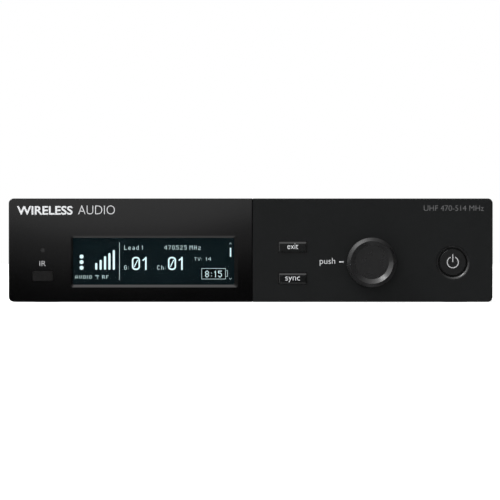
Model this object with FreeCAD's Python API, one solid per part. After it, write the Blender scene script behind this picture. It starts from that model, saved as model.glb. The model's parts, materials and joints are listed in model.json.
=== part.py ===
import FreeCAD, Part
import math
import os

# Half-rack wireless audio receiver. Millimetres, +Z up, +X to the right seen from the front,
# the front faces -Y. The origin is at the bottom centre of the whole unit's box.
# "Depth" is measured from the front faces of the two fascias towards the rear.

V = FreeCAD.Vector

# ---- driving dimensions ---------------------------------------------------
WIDTH = 197.0              # front bezel, side to side
BEZEL_HEIGHT = 42.1        # front bezel, bottom to top
CASE_DEPTH = 152.0         # fascia face to the rear panel's outer face
KNOB_PROUD = 9.0           # how far the knob stands out in front
JACK_PROUD = 12.0          # how far the antenna jacks stand out behind
FOOT_PROUD = 0.3           # the feet reach this far below the bezel
SHEET = 0.8                # steel sheet thickness of the case
CORNER_R = 2.0             # bezel outline corners
FIT = 0.02                 # gap round a screw shank in its thread

FACE_Y = KNOB_PROUD - (CASE_DEPTH + KNOB_PROUD + JACK_PROUD) / 2
BEZEL_Z = FOOT_PROUD + BEZEL_HEIGHT / 2

# front
FASCIA_T = 3.0
FRAME_END = 16.0           # depth at which the front frame meets the case
FRAME_REVEAL = 0.15        # the frame sits this far inside the fascias' outline
FRAME_WALL = 2.0
WEB_T = 2.0
WEB_END = FASCIA_T + WEB_T
SPLIT_X = 0.73             # line between the two fascias
GROOVE = 0.32
GROOVE_CHAMFER = 0.15
EDGE_R = 0.35              # rounding of the fascias' outer front edges

# display
SCREEN_LEFT, SCREEN_RIGHT = -72.4, -6.7
SCREEN_BOTTOM, SCREEN_TOP = 7.3, 26.35
BEVEL_LEFT, BEVEL_RIGHT, BEVEL_TOP, BEVEL_BOTTOM = 0.8, 1.5, 0.85, 1.1
BEVEL_DEPTH = 0.8
WINDOW_T = 1.2
WINDOW_LAP = 0.9           # window overlap behind the bevel
GASKET_T = 1.0
MODULE_T = 4.0
MODULE_SIZE = (74.0, 25.0)
DISPLAY_BOARD_T = 1.6

# infrared window and sync light
IR_CENTRE = (-84.7, 10.8)
IR_SIZE = (8.5, 4.3)
IR_FLANGE = (10.5, 6.3)
LED_CENTRE = (-84.65, 21.35)
LED_R = 0.9

# exit and sync buttons
BUTTON_X = 17.1
BUTTON_Z = {"exit_button": 22.65, "sync_button": 9.85}
BUTTON_RECESS = (11.9, 4.9)
BUTTON_CAP = (11.1, 4.1)
BUTTON_FLANGE = (13.0, 6.0)
BUTTON_PROUD = 0.5
BUTTON_TRAVEL = 0.5
BUTTON_CHAMFER = 0.3
BUTTON_SLOPE = 0.70        # height of the sloped strip along the cap's top edge

# power button
POWER_CENTRE = (82.25, 16.42)
POWER_R = 5.3
POWER_HOLE_R = 5.87
POWER_RING_R = 6.9
POWER_RING_DEPTH = 0.75    # depth of the dished ring round the button
POWER_TRAVEL = 1.0

# control knob and its encoder
KNOB_CENTRE = (49.22, 16.38)
KNOB_R = 10.05
KNOB_CREST_R = 8.65
KNOB_DISH_R = 6.8
KNOB_DISH_DEPTH = 1.35
KNOB_BEVEL_DEPTH = 1.8     # depth of the outer bevel behind the crest
KNOB_GAP = 0.9             # knob's back to the fascia
SHAFT_R = 3.0
SHAFT_CLEARANCE = 0.06
TAIL_R = 1.5
BUSH_R = 3.5
CONTROL_BOARD_DEPTH = 11.5
CONTROL_BOARD_T = 1.6

# case
CASE_INSET = 0.6           # case side to bezel side
CASE_BOTTOM = 0.9
CASE_TOP = 41.7
COVER_BEND_R = 1.4
REAR_T = 1.2
FOOT_R = 5.5
FOOT_X = 84.0
FOOT_DEPTHS = (30.0, 138.0)
RACK_HOLE_R = 1.65         # M4 thread, minor radius
RACK_HOLE_DEPTH = 27.0
RACK_HOLE_Z = (11.3, 31.3)

# main board
BOARD_BOTTOM = 8.0
BOARD_T = 1.6
BOARD_HALF_X = 90.0
BOARD_DEPTHS = (22.0, 150.0)

# rear connectors: x and z of each centre
ANTENNA_X = 84.0
ANTENNA_Z = 21.0
XLR_CENTRE = (6.0, 21.6)
PHONE_CENTRE = (-46.0, 17.6)
NETWORK_CENTRE = (38.0, 16.3)
POWER_INLET_CENTRE = (62.0, 15.3)
RETAINER_CENTRE = (72.5, 9.5)
SWITCH_CENTRE = (-21.0, 13.0)
SWITCH_TRAVEL = 2.5

# screws: head radius, head height, shank radius, shank length
SCREW_SMALL = (2.0, 1.4, 1.0, 3.5)
SCREW_CASE = (2.6, 1.8, 1.3, 9.0)
SCREW_COVER = (2.9, 0.5, 1.25, 4.5)
SCREW_REAR = (2.7, 1.8, 1.25, 5.0)
SCREW_BOARD = (2.4, 1.8, 1.25, 5.0)
SCREW_XLR = (2.3, 1.3, 1.2, 3.8)
COVER_SCREW_Z = 34.5
RACK_NECK_R = 2.6

# switch plungers and shaft: depths of their front ends
SWITCH_TIP = 6.5
POWER_SWITCH_TIP = 7.4
SHAFT_FRONT = -6.5

# rear connector bodies
ANTENNA_THREAD_R = 5.6
XLR_CUP_R = 11.7
XLR_BORE_R = 9.6
XLR_PIN_R = 1.2
PHONE_NOSE_R = 4.6
PHONE_BORE_R = 3.2
NETWORK_SIZE = (15.9, 13.4)
INLET_NOSE_R = 4.4
SWITCH_SLIDER = (2.4, 2.2)

# derived
CASE_HALF_X = WIDTH / 2 - CASE_INSET
TRAY_HALF_X = CASE_HALF_X - SHEET
TRAY_FLOOR = CASE_BOTTOM + SHEET
COVER_UNDER = CASE_TOP - SHEET
BOARD_TOP = BOARD_BOTTOM + BOARD_T
REAR_INNER = CASE_DEPTH - REAR_T
WINDOW_END = BEVEL_DEPTH + WINDOW_T
GASKET_END = WINDOW_END + GASKET_T
MODULE_END = GASKET_END + MODULE_T
DISPLAY_BOARD_END = MODULE_END + DISPLAY_BOARD_T
CONTROL_BOARD_END = CONTROL_BOARD_DEPTH + CONTROL_BOARD_T
SCREEN_W = SCREEN_RIGHT - SCREEN_LEFT
SCREEN_H = SCREEN_TOP - SCREEN_BOTTOM
SCREEN_CENTRE = ((SCREEN_LEFT + SCREEN_RIGHT) / 2, (SCREEN_BOTTOM + SCREEN_TOP) / 2)

nodes = {}


# ---- shape helpers --------------------------------------------------------
def block(x0, x1, d0, d1, z0, z1):
    """A box between two x, two depths and two heights."""
    return Part.makeBox(x1 - x0, d1 - d0, z1 - z0, V(x0, FACE_Y + d0, z0))


def rod(centre, r, d0, d1):
    """A cylinder along the depth."""
    return Part.makeCylinder(r, d1 - d0, V(centre[0], FACE_Y + d0, centre[1]), V(0, 1, 0))


def post(x, d, r, z0, z1):
    """An upright cylinder."""
    return Part.makeCylinder(r, z1 - z0, V(x, FACE_Y + d, z0), V(0, 0, 1))


def cross_pin(x0, x1, d, z, r):
    """A cylinder along x."""
    return Part.makeCylinder(r, x1 - x0, V(x0, FACE_Y + d, z), V(1, 0, 0))


def outline(centre, size, r, depth):
    """A rounded rectangle across the unit at one depth, as a wire."""
    x, z = centre
    a, b = size[0] / 2, size[1] / 2
    y = FACE_Y + depth
    s = r * (1 - math.sqrt(0.5))
    edges = []
    corners = [(1, -1), (1, 1), (-1, 1), (-1, -1)]
    for i, (sx, sz) in enumerate(corners):
        side = V(x + sx * a, y, z + sz * (b - r))
        end = V(x + sx * (a - r), y, z + sz * b)
        middle = V(x + sx * (a - s), y, z + sz * (b - s))
        first, last = (side, end) if sx * sz > 0 else (end, side)
        edges.append(Part.Arc(first, middle, last).toShape())
        nx, nz = corners[(i + 1) % 4]
        follow_side = V(x + nx * a, y, z + nz * (b - r))
        follow_end = V(x + nx * (a - r), y, z + nz * b)
        follow = follow_side if nx * nz > 0 else follow_end
        edges.append(Part.LineSegment(last, follow).toShape())
    return Part.Wire(edges)


def slab(centre, size, r, d0, d1):
    """A rounded rectangle extruded from one depth to another."""
    return Part.Face(outline(centre, size, r, d0)).extrude(V(0, d1 - d0, 0))


def taper(centre_a, size_a, r_a, d0, centre_b, size_b, r_b, d1):
    """A rounded rectangle that changes into another between two depths."""
    wires = [outline(centre_a, size_a, r_a, d0), outline(centre_b, size_b, r_b, d1)]
    return Part.makeLoft(wires, True, True)


def turned(centre, profile):
    """A solid of revolution about a depth axis from (radius, depth) points."""
    x, z = centre
    points = [V(x + r, FACE_Y + d, z) for r, d in profile]
    face = Part.Face(Part.makePolygon(points + points[:1]))
    return face.revolve(V(x, FACE_Y, z), V(0, 1, 0), 360)


def hexagon(centre, across_flats, d0, d1):
    """A hexagonal prism along the depth."""
    x, z = centre
    r = across_flats / math.sqrt(3)
    turns = [math.radians(30 + 60 * i) for i in range(6)]
    points = [V(x + r * math.cos(t), FACE_Y + d0, z + r * math.sin(t)) for t in turns]
    return Part.Face(Part.makePolygon(points + points[:1])).extrude(V(0, d1 - d0, 0))


def ring(centre, r_out, r_in, d0, d1):
    return rod(centre, r_out, d0, d1).cut(rod(centre, r_in, d0, d1))


def joined(shapes):
    """One solid made of shapes that meet or overlap."""
    whole = shapes[0]
    for shape in shapes[1:]:
        whole = whole.fuse(shape)
    return whole.removeSplitter()


def cut_all(shape, tools):
    for tool in tools:
        shape = shape.cut(tool)
    return shape


def screw(head_r, head_h, shank_r, shank_l):
    """A pan-head screw with a cross recess, standing on z = 0 with its shank down."""
    head = Part.makeCylinder(head_r, head_h)
    head = head.makeFillet(head_h * 0.45, [e for e in head.Edges if e.BoundBox.ZMin > head_h * 0.9])
    slot_l, slot_w, slot_h = head_r * 1.1, head_r * 0.28, head_h * 0.6
    bars = [Part.makeBox(slot_l, slot_w, slot_h, V(-slot_l / 2, -slot_w / 2, head_h - slot_h)),
            Part.makeBox(slot_w, slot_l, slot_h, V(-slot_w / 2, -slot_l / 2, head_h - slot_h))]
    head = cut_all(head, bars)
    return joined([head, Part.makeCylinder(shank_r, shank_l + head_h * 0.2, V(0, 0, -shank_l))])


def placed(shape, x, depth, z, direction):
    """Turn a screw's +Z towards a direction and put its seat at a point."""
    copy = shape.copy()
    copy.Placement = FreeCAD.Placement(V(x, FACE_Y + depth, z), FreeCAD.Rotation(V(0, 0, 1), direction))
    return copy


def front_edges(shape, depth, longer_than=0.0):
    """Edges that lie in the plane of one depth."""
    y = FACE_Y + depth
    found = []
    for edge in shape.Edges:
        box = edge.BoundBox
        if abs(box.YMin - y) < 1e-6 and abs(box.YMax - y) < 1e-6 and edge.Length > longer_than:
            found.append(edge)
    return found


# ---- fascias and front frame ---------------------------------------------
def bezel_blank():
    """Both fascias in one plate, with the outer front edges rounded."""
    plate = slab((0, BEZEL_Z), (WIDTH, BEZEL_HEIGHT), CORNER_R, 0, FASCIA_T)
    return plate.makeFillet(EDGE_R, front_edges(plate, 0))


def groove_side(plate, side):
    """The part of the plate on one side of the groove, with the groove's edge chamfered."""
    edge_x = SPLIT_X + side * GROOVE / 2
    far_x = side * WIDTH
    keep = block(min(edge_x, far_x), max(edge_x, far_x), -1, FASCIA_T + 1, -1, BEZEL_HEIGHT + 2)
    c = GROOVE_CHAMFER
    corner = [V(edge_x - side * c, FACE_Y - c, -1), V(edge_x + side * 2 * c, FACE_Y - c, -1),
              V(edge_x - side * c, FACE_Y + 2 * c, -1)]
    wedge = Part.Face(Part.makePolygon(corner + corner[:1])).extrude(V(0, 0, BEZEL_HEIGHT + 3))
    return plate.common(keep).cut(wedge)


def make_display_fascia(plate):
    centre = SCREEN_CENTRE
    outer_centre = (centre[0] + (BEVEL_RIGHT - BEVEL_LEFT) / 2, centre[1] + (BEVEL_TOP - BEVEL_BOTTOM) / 2)
    outer = (SCREEN_W + BEVEL_LEFT + BEVEL_RIGHT, SCREEN_H + BEVEL_TOP + BEVEL_BOTTOM)
    inner = (SCREEN_W, SCREEN_H)
    pocket = (SCREEN_W + 2 * WINDOW_LAP, SCREEN_H + 2 * WINDOW_LAP)
    tools = [
        taper(outer_centre, outer, 0.8, 0, centre, inner, 0.5, BEVEL_DEPTH),
        slab(centre, pocket, 0.6, BEVEL_DEPTH, FASCIA_T),
        slab(IR_CENTRE, IR_SIZE, 0.8, 0, FASCIA_T),
        rod(LED_CENTRE, LED_R, 0, FASCIA_T),
    ]
    return cut_all(groove_side(plate, -1), tools)


def make_control_fascia(plate):
    tools = [slab((BUTTON_X, z), BUTTON_RECESS, 0.5, 0, FASCIA_T) for z in BUTTON_Z.values()]
    tools += [
        rod(KNOB_CENTRE, BUSH_R + 3.1, 0, FASCIA_T),
        turned(POWER_CENTRE, [(0, 0), (POWER_RING_R, 0), (POWER_HOLE_R, POWER_RING_DEPTH),
                              (POWER_HOLE_R, FASCIA_T), (0, FASCIA_T)]),
    ]
    return cut_all(groove_side(plate, 1), tools)


def board_bosses():
    """Centres of the front frame's bosses: for the display board, then for the control board."""
    left = [(-91.0, 34.5), (-5.5, 34.5), (-48.0, 34.5), (-91.0, 5.5)]
    right = [(9.0, 34.5), (91.0, 34.5), (33.0, 6.5), (91.0, 6.5)]
    return left, right


def make_front_frame():
    size = (WIDTH - 2 * FRAME_REVEAL, BEZEL_HEIGHT - 2 * FRAME_REVEAL)
    inside = (size[0] - 2 * FRAME_WALL, size[1] - 2 * FRAME_WALL)
    frame = slab((0, BEZEL_Z), size, CORNER_R - FRAME_REVEAL, FASCIA_T, FRAME_END)
    frame = frame.cut(slab((0, BEZEL_Z), inside, 0.6, WEB_END, FRAME_END))
    left, right = board_bosses()
    solids = [frame]
    solids += [rod(c, 2.6, WEB_END, MODULE_END) for c in left]
    solids += [rod(c, 2.6, WEB_END, CONTROL_BOARD_DEPTH) for c in right]
    solids += [rod(c, 3.6, WEB_END, FRAME_END) for c in case_bosses()]
    frame = joined(solids)
    module_hole = (MODULE_SIZE[0] + 0.4, MODULE_SIZE[1] + 0.4)
    tools = [slab(SCREEN_CENTRE, module_hole, 0.5, FASCIA_T, WEB_END)]
    tools += [slab(IR_CENTRE, (IR_FLANGE[0] + 1, IR_FLANGE[1] + 1), 0.8, FASCIA_T, WEB_END)]
    tools += [rod(LED_CENTRE, LED_R + 1.1, FASCIA_T, WEB_END)]
    for z in BUTTON_Z.values():
        tools.append(slab((BUTTON_X, z), (BUTTON_FLANGE[0] + 0.8, BUTTON_FLANGE[1] + 0.8), 0.6,
                          FASCIA_T, WEB_END))
    tools += [rod(KNOB_CENTRE, BUSH_R + 0.1, FASCIA_T, WEB_END)]
    tools += [rod(POWER_CENTRE, POWER_RING_R + 0.6, FASCIA_T, WEB_END)]
    tools += [rod(c, SCREW_SMALL[2] + FIT, WEB_END - 0.5, MODULE_END) for c in left]
    tools += [rod(c, SCREW_SMALL[2] + FIT, WEB_END - 0.5, CONTROL_BOARD_DEPTH) for c in right]
    tools += [rod(c, SCREW_CASE[2] + FIT, WEB_END + 1, FRAME_END) for c in case_bosses()]
    return cut_all(frame, tools)


# ---- buttons, knob and encoder -------------------------------------------
def make_button(z):
    """A flanged push button whose top edge slopes more than the others."""
    cap = slab((BUTTON_X, z), BUTTON_CAP, 0.4, -BUTTON_PROUD, FASCIA_T + 0.1)
    cap = cap.makeChamfer(BUTTON_CHAMFER, front_edges(cap, -BUTTON_PROUD))
    top = z + BUTTON_CAP[1] / 2
    front = FACE_Y - BUTTON_PROUD
    x = BUTTON_X - BUTTON_CAP[0]
    corners = [V(x, front, top - BUTTON_SLOPE), V(x, front - 1, top - BUTTON_SLOPE), V(x, front - 1, top + 1),
               V(x, front + BUTTON_PROUD, top + 1), V(x, front + BUTTON_PROUD, top)]
    wedge = Part.Face(Part.makePolygon(corners + corners[:1])).extrude(V(2 * BUTTON_CAP[0], 0, 0))
    cap = cap.cut(wedge)
    flange = slab((BUTTON_X, z), BUTTON_FLANGE, 0.5, FASCIA_T + 0.1, FASCIA_T + 1.1)
    stem = rod((BUTTON_X, z), 1.6, FASCIA_T + 1.1, SWITCH_TIP - BUTTON_TRAVEL - 0.1)
    return joined([cap, flange, stem])


def make_power_button():
    tip = POWER_SWITCH_TIP - POWER_TRAVEL - 0.1
    return turned(POWER_CENTRE, [(0, 0.2), (POWER_R - 0.12, 0.2), (POWER_R, 0.32), (POWER_R, 3.1),
                                 (POWER_R + 1.5, 3.1), (POWER_R + 1.5, 4.0), (1.8, 4.0), (1.8, tip),
                                 (0, tip)])


def make_knob():
    """A turned knob with a dished front, a hollow back, a hub and fine grip grooves."""
    front = -KNOB_PROUD
    back = -KNOB_GAP
    body = turned(KNOB_CENTRE, [
        (0, front + KNOB_DISH_DEPTH), (KNOB_DISH_R, front + KNOB_DISH_DEPTH), (KNOB_CREST_R, front),
        (KNOB_R, front + KNOB_BEVEL_DEPTH), (KNOB_R, back - 0.3), (KNOB_R - 0.3, back), (8.4, back),
        (8.4, back - 4.6), (4.6, back - 4.6), (4.6, back), (SHAFT_R, back),
        (SHAFT_R, SHAFT_FRONT - 0.1), (0, SHAFT_FRONT - 0.1)])
    grooves = []
    count = 72
    x, z = KNOB_CENTRE
    for i in range(count):
        t = 2 * math.pi * i / count
        groove_centre = (x + (KNOB_R + 0.12) * math.cos(t), z + (KNOB_R + 0.12) * math.sin(t))
        grooves.append(rod(groove_centre, 0.3, front + KNOB_BEVEL_DEPTH + 0.4, back - 0.5))
    return body.cut(Part.makeCompound(grooves))


def make_encoder():
    body = joined([block(KNOB_CENTRE[0] - 6.2, KNOB_CENTRE[0] + 6.2, WEB_END, CONTROL_BOARD_DEPTH,
                         KNOB_CENTRE[1] - 6.2, KNOB_CENTRE[1] + 6.2),
                   rod(KNOB_CENTRE, BUSH_R, 0.4, WEB_END)])
    bore_r = SHAFT_R + SHAFT_CLEARANCE
    body = cut_all(body, [rod(KNOB_CENTRE, bore_r, 0.4, 6.4), rod(KNOB_CENTRE, 4.4, 6.2, 10.9)])
    nodes["encoder_body"] = body
    carrier_front, carrier_back = 7.0, 9.4
    nodes["encoder_carrier"] = ring(KNOB_CENTRE, 4.2, TAIL_R + SHAFT_CLEARANCE, carrier_front, carrier_back)
    nodes["encoder_shaft"] = turned(KNOB_CENTRE, [
        (0, SHAFT_FRONT), (SHAFT_R, SHAFT_FRONT), (SHAFT_R, carrier_front - 0.1),
        (TAIL_R, carrier_front - 0.1), (TAIL_R, carrier_back + 0.1), (2.2, carrier_back + 0.1),
        (2.2, carrier_back + 0.5), (0, carrier_back + 0.5)])
    nut = hexagon(KNOB_CENTRE, 10.0, FASCIA_T - 2.0, FASCIA_T)
    nodes["encoder_nut"] = nut.cut(rod(KNOB_CENTRE, BUSH_R + FIT, 0, FASCIA_T))


# ---- case -----------------------------------------------------------------
def case_bosses():
    """Where the case's front wall is screwed to the front frame."""
    return [(x, z) for x in (-92.0, 92.0) for z in (12.0, 28.0)]


def cover_screw_places():
    return [(side, depth) for side in (-1, 1) for depth in (60.0, 96.0, 140.0)]


def tab_places():
    """Corner tabs inside the tray that the rear panel is screwed to."""
    return [(x, z) for x in (-91.0, 91.0) for z in (7.0, 35.5)]


def rack_hole_places():
    return [(side, z) for side in (-1, 1) for z in RACK_HOLE_Z]


def make_base_tray():
    floor = block(-TRAY_HALF_X, TRAY_HALF_X, FRAME_END, REAR_INNER, CASE_BOTTOM, TRAY_FLOOR)
    lip = block(-TRAY_HALF_X, TRAY_HALF_X, REAR_INNER, CASE_DEPTH - 0.2, CASE_BOTTOM, TRAY_FLOOR)
    front = block(-TRAY_HALF_X, TRAY_HALF_X, FRAME_END, FRAME_END + SHEET, TRAY_FLOOR, COVER_UNDER)
    solids = [floor, lip, front]
    for side in (-1, 1):
        x = sorted((side * TRAY_HALF_X, side * (TRAY_HALF_X - SHEET)))
        solids.append(block(x[0], x[1], FRAME_END, REAR_INNER, TRAY_FLOOR, COVER_UNDER))
    for x, z in tab_places():
        wall = math.copysign(TRAY_HALF_X - SHEET / 2, x)
        inner = x - math.copysign(5.0, x)
        solids.append(block(min(wall, inner), max(wall, inner), REAR_INNER - 1.5, REAR_INNER,
                            z - 5.0, z + 5.0))
    tray = joined(solids)
    tools = [slab((-39.0, 21.0), (72.0, 26.0), 3.0, FRAME_END, FRAME_END + SHEET),
             slab((49.0, 21.0), (72.0, 26.0), 3.0, FRAME_END, FRAME_END + SHEET)]
    tools += [rod(c, SCREW_CASE[2] + 0.3, FRAME_END, FRAME_END + SHEET) for c in case_bosses()]
    tools += [rod(c, SCREW_REAR[2] + FIT, REAR_INNER - 1.5, REAR_INNER) for c in tab_places()]
    for side, depth in cover_screw_places():
        x = sorted((side * TRAY_HALF_X, side * (TRAY_HALF_X - SHEET)))
        tools.append(cross_pin(x[0], x[1], depth, COVER_SCREW_Z, SCREW_COVER[2] + FIT))
    for side, z in rack_hole_places():
        x = sorted((side * TRAY_HALF_X, side * (TRAY_HALF_X - SHEET)))
        tools.append(cross_pin(x[0], x[1], RACK_HOLE_DEPTH, z, RACK_NECK_R))
    return cut_all(tray, tools)


def make_top_cover():
    z_low = CASE_BOTTOM + 0.3
    outer = block(-CASE_HALF_X, CASE_HALF_X, FRAME_END, CASE_DEPTH, z_low, CASE_TOP)
    long_top = [e for e in outer.Edges
                if abs(e.BoundBox.ZMin - CASE_TOP) < 1e-6 and abs(e.BoundBox.XLength) < 1e-6]
    outer = outer.makeFillet(COVER_BEND_R, long_top)
    hollow = block(-TRAY_HALF_X, TRAY_HALF_X, FRAME_END - 1, CASE_DEPTH + 1, z_low - 1, COVER_UNDER)
    cover = outer.cut(hollow)
    tools = []
    for side, depth in cover_screw_places():
        x = sorted((side * TRAY_HALF_X, side * CASE_HALF_X))
        tools.append(cross_pin(x[0], x[1], depth, COVER_SCREW_Z, SCREW_COVER[2] + 0.3))
    for side, z in rack_hole_places():
        x = sorted((side * TRAY_HALF_X, side * CASE_HALF_X))
        tools.append(cross_pin(x[0], x[1], RACK_HOLE_DEPTH, z, RACK_NECK_R))
    return cut_all(cover, tools)


def make_rear_panel():
    panel = block(-TRAY_HALF_X, TRAY_HALF_X, REAR_INNER, CASE_DEPTH, TRAY_FLOOR, COVER_UNDER)
    through = (REAR_INNER, CASE_DEPTH)
    tools = [rod(c, SCREW_REAR[2] + 0.2, *through) for c in tab_places()]
    tools += [rod((x, ANTENNA_Z), ANTENNA_THREAD_R + 0.1, *through) for x in (-ANTENNA_X, ANTENNA_X)]
    tools += [rod(XLR_CENTRE, XLR_CUP_R + 0.1, *through)]
    tools += [rod(c, SCREW_XLR[2] + FIT, *through) for c in xlr_screw_places()]
    tools += [rod(PHONE_CENTRE, PHONE_NOSE_R + 0.1, *through)]
    tools += [slab(NETWORK_CENTRE, (NETWORK_SIZE[0] + 0.4, NETWORK_SIZE[1] + 0.4), 0.3, *through)]
    tools += [rod(POWER_INLET_CENTRE, INLET_NOSE_R + 0.1, *through)]
    tools += [slab(switch_slot_centre(), (SWITCH_SLIDER[0] + SWITCH_TRAVEL + 0.6, SWITCH_SLIDER[1] + 0.6),
                   0.3, *through)]
    tools += [rod((RETAINER_CENTRE[0], RETAINER_CENTRE[1]), 1.25, *through)]
    return cut_all(panel, tools)


def make_case_hardware():
    cover = screw(*SCREW_COVER)
    nodes["cover_screws"] = Part.makeCompound([
        placed(cover, side * CASE_HALF_X, depth, COVER_SCREW_Z, V(side, 0, 0))
        for side, depth in cover_screw_places()])
    rear = screw(*SCREW_REAR)
    nodes["rear_panel_screws"] = Part.makeCompound([
        placed(rear, x, CASE_DEPTH, z, V(0, 1, 0)) for x, z in tab_places()])
    inserts = []
    for side, z in rack_hole_places():
        neck = (TRAY_HALF_X - SHEET, CASE_HALF_X)
        flange = (TRAY_HALF_X - SHEET - 2.5, TRAY_HALF_X - SHEET)
        parts = [cross_pin(*sorted((side * neck[0], side * neck[1])), RACK_HOLE_DEPTH, z, RACK_NECK_R),
                 cross_pin(*sorted((side * flange[0], side * flange[1])), RACK_HOLE_DEPTH, z, 4.0)]
        hole = cross_pin(*sorted((side * flange[0], side * neck[1])), RACK_HOLE_DEPTH, z, RACK_HOLE_R)
        inserts.append(joined(parts).cut(hole))
    nodes["rack_inserts"] = Part.makeCompound(inserts)
    feet = []
    for x in (-FOOT_X, FOOT_X):
        for depth in FOOT_DEPTHS:
            foot = post(x, depth, FOOT_R, 0, CASE_BOTTOM)
            low = [e for e in foot.Edges if e.BoundBox.ZMax < 1e-6]
            feet.append(foot.makeFillet(0.4, low))
    nodes["rubber_feet"] = Part.makeCompound(feet)


# ---- boards and what is on them ------------------------------------------
def make_front_boards():
    left, right = board_bosses()
    board = block(-94.0, -2.5, MODULE_END, DISPLAY_BOARD_END, 4.5, 38.0)
    nodes["display_board"] = cut_all(board, [rod(c, SCREW_SMALL[2] + 0.2, MODULE_END, DISPLAY_BOARD_END)
                                             for c in left])
    board = block(6.0, 94.5, CONTROL_BOARD_DEPTH, CONTROL_BOARD_END, 3.5, 38.0)
    board = cut_all(board, [rod(c, SCREW_SMALL[2] + 0.2, CONTROL_BOARD_DEPTH, CONTROL_BOARD_END)
                            for c in right])
    near_side = [(92.0, z) for z in (12.0, 28.0)]
    nodes["control_board"] = cut_all(board, [rod(c, 4.4, CONTROL_BOARD_DEPTH, CONTROL_BOARD_END)
                                             for c in near_side])
    display_cuts = [rod((-92.0, z), 4.4, MODULE_END, DISPLAY_BOARD_END) for z in (12.0, 28.0)]
    nodes["display_board"] = cut_all(nodes["display_board"], display_cuts)
    fixing = screw(*SCREW_SMALL)
    screws = [placed(fixing, x, DISPLAY_BOARD_END, z, V(0, 1, 0)) for x, z in left]
    screws += [placed(fixing, x, CONTROL_BOARD_END, z, V(0, 1, 0)) for x, z in right]
    case_fixing = screw(*SCREW_CASE)
    screws += [placed(case_fixing, x, FRAME_END + SHEET, z, V(0, 1, 0)) for x, z in case_bosses()]
    nodes["front_screws"] = Part.makeCompound(screws)
    switches = []
    for z in BUTTON_Z.values():
        base = block(BUTTON_X - 3, BUTTON_X + 3, 8.0, CONTROL_BOARD_DEPTH, z - 3, z + 3)
        switches.append(joined([base, rod((BUTTON_X, z), 1.3, SWITCH_TIP, 8.0)]))
    nodes["button_switches"] = Part.makeCompound(switches)
    x, z = POWER_CENTRE
    base = block(x - 4, x + 4, POWER_SWITCH_TIP + 1.2, CONTROL_BOARD_DEPTH, z - 4, z + 4)
    nodes["power_switch"] = joined([base, rod(POWER_CENTRE, 1.6, POWER_SWITCH_TIP, POWER_SWITCH_TIP + 1.2)])


def make_display():
    glass_size = (SCREEN_W + 2 * WINDOW_LAP - 0.1, SCREEN_H + 2 * WINDOW_LAP - 0.1)
    nodes["display_window"] = slab(SCREEN_CENTRE, glass_size, 0.5, BEVEL_DEPTH, WINDOW_END)
    frame = slab(SCREEN_CENTRE, glass_size, 0.5, WINDOW_END, GASKET_END)
    opening = (SCREEN_W + 0.3, SCREEN_H + 0.3)
    nodes["display_gasket"] = frame.cut(slab(SCREEN_CENTRE, opening, 0.4, WINDOW_END, GASKET_END))
    module = slab(SCREEN_CENTRE, MODULE_SIZE, 0.4, GASKET_END, MODULE_END)
    viewing = slab(SCREEN_CENTRE, (SCREEN_W + 1.0, SCREEN_H + 1.0), 0.2, GASKET_END, GASKET_END + 0.2)
    nodes["display_module"] = module.cut(viewing)
    body = slab(IR_CENTRE, (IR_SIZE[0] - 0.06, IR_SIZE[1] - 0.06), 0.77, 0.05, FASCIA_T)
    body = body.makeFillet(0.25, front_edges(body, 0.05))
    flange = slab(IR_CENTRE, IR_FLANGE, 0.8, FASCIA_T, FASCIA_T + 0.8)
    nodes["ir_window"] = joined([body, flange])
    x, z = IR_CENTRE
    base = block(x - 3.4, x + 3.4, 5.4, MODULE_END, z - 2.0, z + 2.0)
    domes = [rod((x + dx, z), 1.3, 4.4, 5.4) for dx in (-1.8, 1.8)]
    nodes["ir_transceiver"] = joined([base] + domes)
    pipe = [rod(LED_CENTRE, LED_R - FIT, 0.1, MODULE_END), rod(LED_CENTRE, LED_R + 0.8, FASCIA_T, 4.0)]
    nodes["sync_led_pipe"] = joined(pipe)


def standoff_places():
    return [(x, d) for x in (-82.0, 0.0, 82.0) for d in (30.0, 118.0)]


def make_main_board():
    board = block(-BOARD_HALF_X, BOARD_HALF_X, BOARD_DEPTHS[0], BOARD_DEPTHS[1], BOARD_BOTTOM, BOARD_TOP)
    tools = [post(x, d, SCREW_BOARD[2] + 0.2, BOARD_BOTTOM, BOARD_TOP) for x, d in standoff_places()]
    tools += [block(-CASE_HALF_X, -84.0, REAR_INNER - 3, REAR_INNER, 0, 15),
              block(84.0, CASE_HALF_X, REAR_INNER - 3, REAR_INNER, 0, 15)]
    nodes["main_board"] = cut_all(board, tools)
    standoffs = []
    for x, d in standoff_places():
        hole = post(x, d, SCREW_BOARD[2] + FIT, TRAY_FLOOR, BOARD_BOTTOM)
        standoffs.append(post(x, d, 3.0, TRAY_FLOOR, BOARD_BOTTOM).cut(hole))
    nodes["board_standoffs"] = Part.makeCompound(standoffs)
    fixing = screw(*SCREW_BOARD)
    nodes["board_screws"] = Part.makeCompound([placed(fixing, x, d, BOARD_TOP, V(0, 0, 1))
                                               for x, d in standoff_places()])


def shield(x0, x1, d0, d1, height, wall=0.5):
    """A sheet-metal can standing open side down on the main board."""
    can = block(x0, x1, d0, d1, BOARD_TOP, BOARD_TOP + height)
    return can.cut(block(x0 + wall, x1 - wall, d0 + wall, d1 - wall, BOARD_TOP, BOARD_TOP + height - wall))


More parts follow.
